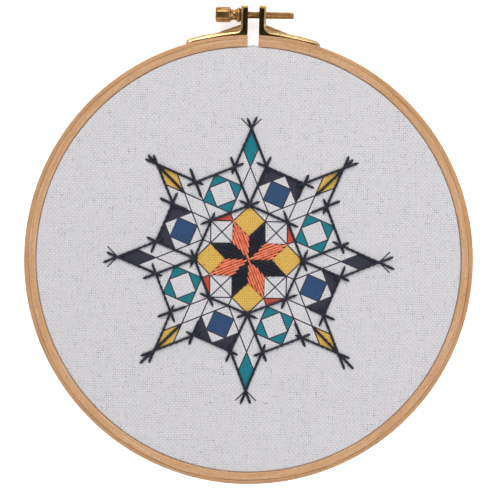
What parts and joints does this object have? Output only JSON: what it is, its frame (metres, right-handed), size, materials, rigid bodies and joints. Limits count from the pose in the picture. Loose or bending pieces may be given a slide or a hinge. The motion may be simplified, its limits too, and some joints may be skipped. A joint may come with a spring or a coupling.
{
  "type": "embroidered cloth in a wooden hoop frame",
  "caption": "Round embroidered evenweave cloth stretched in a split beech hoop, with brass ears and a tensioning screw at the top, lying face up.",
  "frame": {"origin": "on the surface that the hoop lies on, under the middle of the whole object's box", "axes": "+Z out of the cloth's face, through the hoop's depth; +Y from the hoop's centre towards the split and the screw; +X along the screw from its head to its end"},
  "size_m": [0.21, 0.224, 0.009],
  "materials": {
    "beech": "bent beech strip, sanded and left plain",
    "inner_beech": "bent beech strip, sanded and left plain",
    "cloth": "pale evenweave cotton with printed and stitched ornament",
    "brackets": "pressed sheet, bright brass plate",
    "screw": "turned brass, slightly dulled"
  },
  "bodies": {
    "hoop": {"outer_hoop": "beech", "inner_hoop": "inner_beech", "cloth": "cloth", "bracket_left": "brackets", "bracket_right": "brackets"},
    "tension_screw": {"screw": "screw"}
  },
  "joints": [
    {"name": "screw_turn", "type": "hinge", "parent": "hoop", "child": "tension_screw", "pos_m": [0, 0.1076, 0.0045], "axis": [1, 0, 0], "continuous": true}
  ]
}
